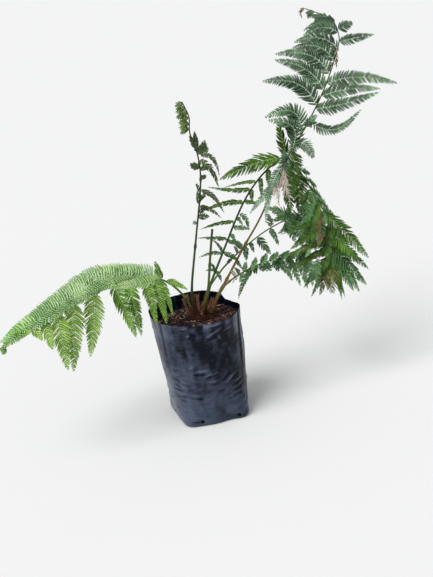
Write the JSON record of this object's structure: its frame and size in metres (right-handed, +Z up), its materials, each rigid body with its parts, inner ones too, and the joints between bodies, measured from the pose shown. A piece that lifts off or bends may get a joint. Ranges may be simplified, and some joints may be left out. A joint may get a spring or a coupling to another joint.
{
  "type": "potted tree fern",
  "caption": "Young tree fern with arching lacy fronds on slender stalks, rooted in bark mix in a black film nursery grow bag that stands on its flat foot.",
  "frame": {"origin": "middle of the bag's flat underside, on the surface it stands on", "axes": "+Z up; +X towards the side that most fronds lean to; +Y towards the back, away from the low left frond"},
  "size_m": [0.8165, 0.3814, 0.7428],
  "materials": {
    "bag_film": "thin black film, glossy, creased",
    "bark_mix": "damp chipped bark and peat, rough",
    "crown_scales": "reddish brown papery scales",
    "golden_stem": "smooth olive gold stalk, satin",
    "green_stem": "smooth green stalk, satin",
    "left_leaf": "bright mint green leaf, satin",
    "upright_leaf": "dull dark green leaf, satin",
    "arch_leaf": "vivid yellow green leaf, satin",
    "tall_leaf": "blue green leaf, satin",
    "middle_leaf": "mid green leaf, satin",
    "low_leaf": "bluish mid green leaf, satin"
  },
  "bodies": {
    "root": {"bag": "bag_film", "soil": "bark_mix", "crown": "crown_scales", "cut_stem": "green_stem", "left_stem": "green_stem", "left_blade": "left_leaf", "upright_stem": "green_stem", "upright_blade": "upright_leaf", "arch_stem": "green_stem", "arch_blade_near": "arch_leaf", "arch_blade_far": "arch_leaf", "tall_stem": "golden_stem", "tall_blade": "tall_leaf", "middle_stem": "green_stem", "middle_blade": "middle_leaf", "low_stem": "green_stem", "low_blade": "low_leaf"}
  },
  "joints": []
}
